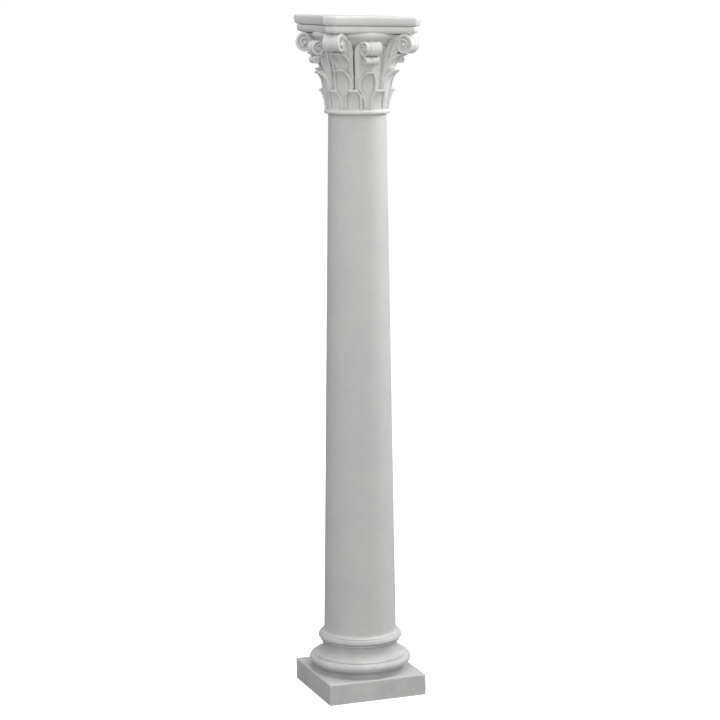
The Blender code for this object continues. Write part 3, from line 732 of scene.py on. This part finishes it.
# The band: its stem up to the split, then its turns. Its inner side narrows with depth, so that the
# gap between two stems stays open
def bandPiece(form):
    stem = form["stem"] + [(form["centre"][0], form["centre"][1] + form["radius"], form["halfWidth"])]
    split = form["stemShare"]

    def flatAt(share):
        return eased((share - scrollShared["flatFrom"]) / scrollShared["flatGrowth"])

    def outer(u, v):
        across = 2 * u - 1
        if v > split:
            share = (v - split) / (1 - split)
            half = halfAt(form, winding(form, share, 0.0)[0], across)
            lift = bandRelief(form, across, half)
            outward, height = winding(form, share, -lift / form["band"] * (1 - share))
            return place(outward, across * half, height)
        share = v / split
        outward, height, half = along(stem, share)
        lift = bandRelief(form, across, half) * eased(share / scrollShared["reliefGrowth"])
        flat = flatAt(share)
        return bent(outward + lift * (1 - share * flat), across * half, height + lift * share, flat)

    def inner(u, v):
        across = 2 * u - 1
        if v > split:
            share = (v - split) / (1 - split)
            outward, height = winding(form, share, 1.0)
            return place(outward, across * halfAt(form, winding(form, share, 0.0)[0], across), height)
        share = v / split
        outward, height, half = along(stem, share)
        late = eased((share - scrollShared["joinFrom"]) / scrollShared["joinGrowth"]) ** 3
        rollOut, rollUp = winding(form, 0.0, 1.0)
        deepOut = capital["core"] + scrollShared["innerDepth"] * (outward - capital["core"])
        deepUp = height - form["sink"] * eased(share)
        deepOut += (rollOut - deepOut) * late
        half *= min(deepOut / outward, 1.0)
        return bent(deepOut, across * half, deepUp + (rollUp - deepUp) * late, flatAt(share))

    return skin(scrollShared["grid"], outer, inner)


# A plain block out from the core, through levels of (out, up, half width)
def fillingPiece(levels):
    def outer(u, v):
        outward, height, half = along(levels, v)
        return place(outward, (2 * u - 1) * half, height)

    def inner(u, v):
        outward, height, half = along(levels, v)
        return place(capital["core"], (2 * u - 1) * half, height)

    return skin(fillingGrid, outer, inner)


# Copies a piece of carving round the capital and adds it to the rest
def setRound(carving, piece, places):
    mesh = bpy.data.meshes.new("piece")
    piece.to_mesh(mesh)
    piece.free()
    for azimuth in places:
        copy = mesh.copy()
        copy.transform(Matrix.Rotation(radians(azimuth), 4, "Z"))
        carving.from_mesh(copy)
        bpy.data.meshes.remove(copy)
    bpy.data.meshes.remove(mesh)


def turnedInParts(profile, segments):
    return turned([(outward * out, capitalLow.z + height * up) for outward, height in profile], segments)


def carvedForms():
    carving = bmesh.new()
    setRound(carving, turnedInParts(capital["bell"], capital["bellSegments"]), [0])
    for form, places in ((lowLeaf, "lowLeaves"), (middleLeaf, "cornerLeaves"), (faceLeaf, "faceLeaves"),
                         (cornerLeaf, "nearCorners"), (cornerLeaf, "farCorners")):
        setRound(carving, leafPiece(form), azimuths[places])
    for form, places in ((nearScroll, "nearCorners"), (cornerScroll, "farCorners"), (faceScroll, "faces"),
                         (smallScroll, "faces")):
        setRound(carving, bandPiece(form), azimuths[places])
        setRound(carving, coil(form), azimuths[places])
        setRound(carving, eyePiece(form), azimuths[places])
    for key, places in (("corner", "nearCorners"), ("corner", "farCorners"), ("face", "faces"),
                        ("web", "webs")):
        setRound(carving, fillingPiece(fillings[key]), azimuths[places])
    return carving


# Drops the specks that a remesh leaves where forms close off a little air between them
def keepLargest(bm):
    unseen = set(bm.verts)
    bodies = []
    while unseen:
        front = [unseen.pop()]
        body = set(front)
        while front:
            vert = front.pop()
            for edge in vert.link_edges:
                other = edge.other_vert(vert)
                if other in unseen:
                    unseen.remove(other)
                    body.add(other)
                    front.append(other)
        bodies.append(body)
    largest = max(bodies, key=len)
    specks = [vert for body in bodies if body is not largest for vert in body]
    bmesh.ops.delete(bm, geom=specks, context="VERTS")


# The forms fused into one skin, as a mould gives them, softened and thinned
def castCarving():
    forms = toObject("forms", carvedForms())
    fuse = forms.modifiers.new("fuse", "REMESH")
    fuse.mode = "VOXEL"
    fuse.voxel_size = capital["grain"] * up * 1.0
    bm = takeMesh(forms)
    keepLargest(bm)
    for _ in range(capital["smooth"]):
        bmesh.ops.smooth_vert(bm, verts=bm.verts[:], factor=0.5,
                              use_axis_x=True, use_axis_y=True, use_axis_z=True)
    castUneven(bm, capital["uneven"], capital["unevenSize"], capitalLow.z, capitalHigh.z)
    print("carving", len(bm.faces), "quads")
    share = capital["triangles"] / (2 * len(bm.faces))
    if share < 1:
        rough = toObject("rough", bm)
        rough.modifiers.new("thin", "DECIMATE").ratio = share
        bm = takeMesh(rough)
    return bm


# One level of the abacus: four sides that bow in to their middles, and the clipped corners between
def abacusRing(setBack, height):
    middle = abacus["middle"] - setBack
    hornSide = sqrt(2) * abacus["reach"] - abacus["horn"]
    bow = (abacus["horn"] - abacus["middle"]) / hornSide ** 2
    clip = sqrt(2) * (abacus["reach"] - setBack)
    half = (sqrt(1 + 4 * bow * (clip - middle)) - 1) / (2 * bow)
    points = []
    for face in (0, 90, 180, 270):
        turn = Matrix.Rotation(radians(face), 3, "Z")
        for step in range(abacus["sideSteps"] + 1):
            side = half * (2 * step / abacus["sideSteps"] - 1)
            points.append(turn @ place(middle + bow * side * side, side, height))
        last = points[-1]
        nextCorner = place(middle + bow * half * half, -half, height)
        following = Matrix.Rotation(radians(face + 90), 3, "Z") @ nextCorner
        for step in range(1, abacus["clipSteps"]):
            points.append(last.lerp(following, step / abacus["clipSteps"]))
    return points


def makeAbacus():
    bm = bmesh.new()
    rings = []
    for setBack, height in abacus["profile"]:
        verts = [bm.verts.new(point) for point in abacusRing(setBack, height)]
        edges = [bm.edges.new((vert, verts[index - 1])) for index, vert in enumerate(verts)]
        if rings:
            bmesh.ops.bridge_loops(bm, edges=rings[-1][1] + edges)
        rings.append((verts, edges))
    bm.faces.new(rings[0][0])
    bm.faces.new(rings[-1][0])
    bmesh.ops.recalc_face_normals(bm, faces=bm.faces[:])
    return bm


# The top of this casting is a little out of level. The lean grows from nothing at its underside
def leanTop(bm):
    for vert in bm.verts:
        share = (vert.co.z - capitalLow.z) / capital["height"]
        vert.co.z += capital["lean"] * vert.co.x * share


def makeCapital():
    bm = castCarving()
    bm = united(bm, turnedInParts(capital["neckRing"], capital["ringSegments"]))
    bm = united(bm, makeAbacus())
    leanTop(bm)
    finishPiece("capitalCasting", bm, buildPlaster("capitalPlaster"), "capital",
                capital["sharpAngle"])


# Floor, light and camera

stage = {
    "floorSize": 900.0, "floorColour": (0.8, 0.8, 0.8, 1), "floorBounce": (0.40, 0.40, 0.395, 1),
    "floorGlow": 0.72, "floorRoughness": 0.9, "floorSpecular": 0.1,
    "world": (0.98, 0.98, 1.0), "worldStrength": 0.37,
}
# Lights stand about the camera's own azimuth, as (azimuth, distance, height), aimed at a height
lights = {
    "sideSoftbox": {
        "at": (75, 2.2, 2.8), "aim": 1.5, "size": 1.2, "energy": 12.5, "colour": (1.0, 1.0, 1.0),
    },
    "frontSoftbox": {
        "at": (5, 3.0, 2.3), "aim": 2.0, "size": 2.2, "energy": 35.5, "colour": (1.0, 0.99, 0.975),
    },
    "topSoftbox": {
        "at": (0, 2.5, 8.0), "aim": 0.3, "size": 4.0, "energy": 190, "colour": (1.0, 0.995, 0.985),
    },
    "rimSoftbox": {
        "at": (110, 2.4, 2.6), "aim": 1.5, "size": 1.4, "energy": 58, "colour": (1.0, 1.0, 1.0),
    },
    "leftSoftbox": {
        "at": (-78, 2.0, 2.7), "aim": 1.8, "size": 1.4, "energy": 13, "colour": (0.97, 0.98, 1.0),
    },
}
# The view that the column was photographed from: azimuth of the camera, distance from the axis,
# height, tilt down, turn and roll in degrees, and focal length in widths of the picture
view = {
    "azimuth": -20.68, "distance": 6.210, "height": 1.969, "down": 9.662, "turn": -0.034, "roll": 0.300,
    "focal": 2337.9 / 720, "sensor": 36.0, "clipEnd": 200,
}


def around(azimuth, distance, height):
    angle = radians(azimuth)
    return Vector((distance * sin(angle), -distance * cos(angle), height))


def makeFloor():
    bm = bmesh.new()
    bmesh.ops.create_grid(bm, x_segments=8, y_segments=8, size=stage["floorSize"] / 2)
    bmesh.ops.translate(bm, vec=(0, 0, baseLow.z), verts=bm.verts[:])
    floor = toObject("floor", bm)
    material = bpy.data.materials.new("floorPaint")
    material.use_nodes = True
    tree = material.node_tree
    shader = tree.nodes["Principled BSDF"]
    shader.inputs["Roughness"].default_value = stage["floorRoughness"]
    shader.inputs["Specular IOR Level"].default_value = stage["floorSpecular"]
    # The camera sees a bright floor, and the column gets only a little light back from it
    seen = tree.nodes.new("ShaderNodeLightPath").outputs["Is Camera Ray"]
    tree.links.new(mixColour(tree, seen, stage["floorBounce"], stage["floorColour"]),
                   shader.inputs["Base Color"])
    shader.inputs["Emission Color"].default_value = (1, 1, 1, 1)
    tree.links.new(mathNode(tree, "MULTIPLY", seen, stage["floorGlow"]), shader.inputs["Emission Strength"])
    floor.data.materials.append(material)


def makeLights():
    world = bpy.data.worlds.new("studio")
    bpy.context.scene.world = world
    world.use_nodes = True
    background = world.node_tree.nodes["Background"]
    background.inputs["Color"].default_value = (*stage["world"], 1)
    background.inputs["Strength"].default_value = stage["worldStrength"]
    for name, lamp in lights.items():
        data = bpy.data.lights.new(name, "AREA")
        data.shape = "SQUARE"
        data.size = lamp["size"]
        data.energy = lamp["energy"]
        data.color = lamp["colour"]
        obj = bpy.data.objects.new(name, data)
        bpy.context.scene.collection.objects.link(obj)
        azimuth, distance, height = lamp["at"]
        obj.location = around(azimuth + view["azimuth"], distance, height)
        aim = Vector((0, 0, lamp["aim"])) - obj.location
        obj.rotation_euler = aim.to_track_quat("-Z", "Y").to_euler()


def makeCamera():
    data = bpy.data.cameras.new("photoView")
    data.sensor_width = view["sensor"]
    data.lens = view["focal"] * view["sensor"]
    data.clip_end = view["clipEnd"]
    camera = bpy.data.objects.new("photoView", data)
    bpy.context.scene.collection.objects.link(camera)
    camera.location = around(view["azimuth"], view["distance"], view["height"])
    turn = Matrix.Rotation(radians(view["azimuth"] + view["turn"]), 4, "Z")
    tilt = Matrix.Rotation(radians(90 - view["down"]), 4, "X")
    roll = Matrix.Rotation(radians(-view["roll"]), 4, "Z")
    camera.rotation_euler = (turn @ tilt @ roll).to_euler()
    bpy.context.scene.camera = camera
    bpy.context.scene.view_settings.view_transform = "Standard"


makeBase()
makeShaft()
makeCapital()
makeFloor()
makeLights()
makeCamera()
